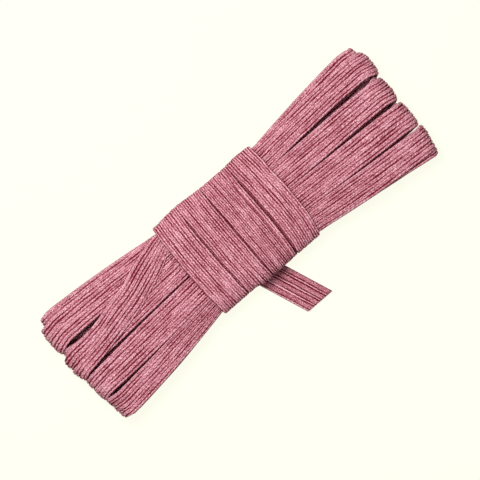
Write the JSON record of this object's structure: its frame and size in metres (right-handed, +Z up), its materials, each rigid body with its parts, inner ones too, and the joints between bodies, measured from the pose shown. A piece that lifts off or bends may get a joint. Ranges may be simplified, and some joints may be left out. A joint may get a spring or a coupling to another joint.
{
  "type": "tied hank of flat braided elastic",
  "caption": "Flat braided sewing elastic wound back and forth into looped columns, tied round the middle by its own wrap, with one cut end lying free.",
  "frame": {"origin": "middle of the small flat spot under the wrap, on the surface that the hank lies on", "axes": "+X along the hank's runs, +Y across it away from the side where the free end comes out, +Z up"},
  "size_m": [0.1434, 0.0583, 0.0112],
  "materials": {
    "elastic": "matte braided yarn over rubber cores, dusty rose with darker grooves between the ribs"
  },
  "bodies": {
    "root": {"hank": "elastic", "tail": "elastic"}
  },
  "joints": []
}
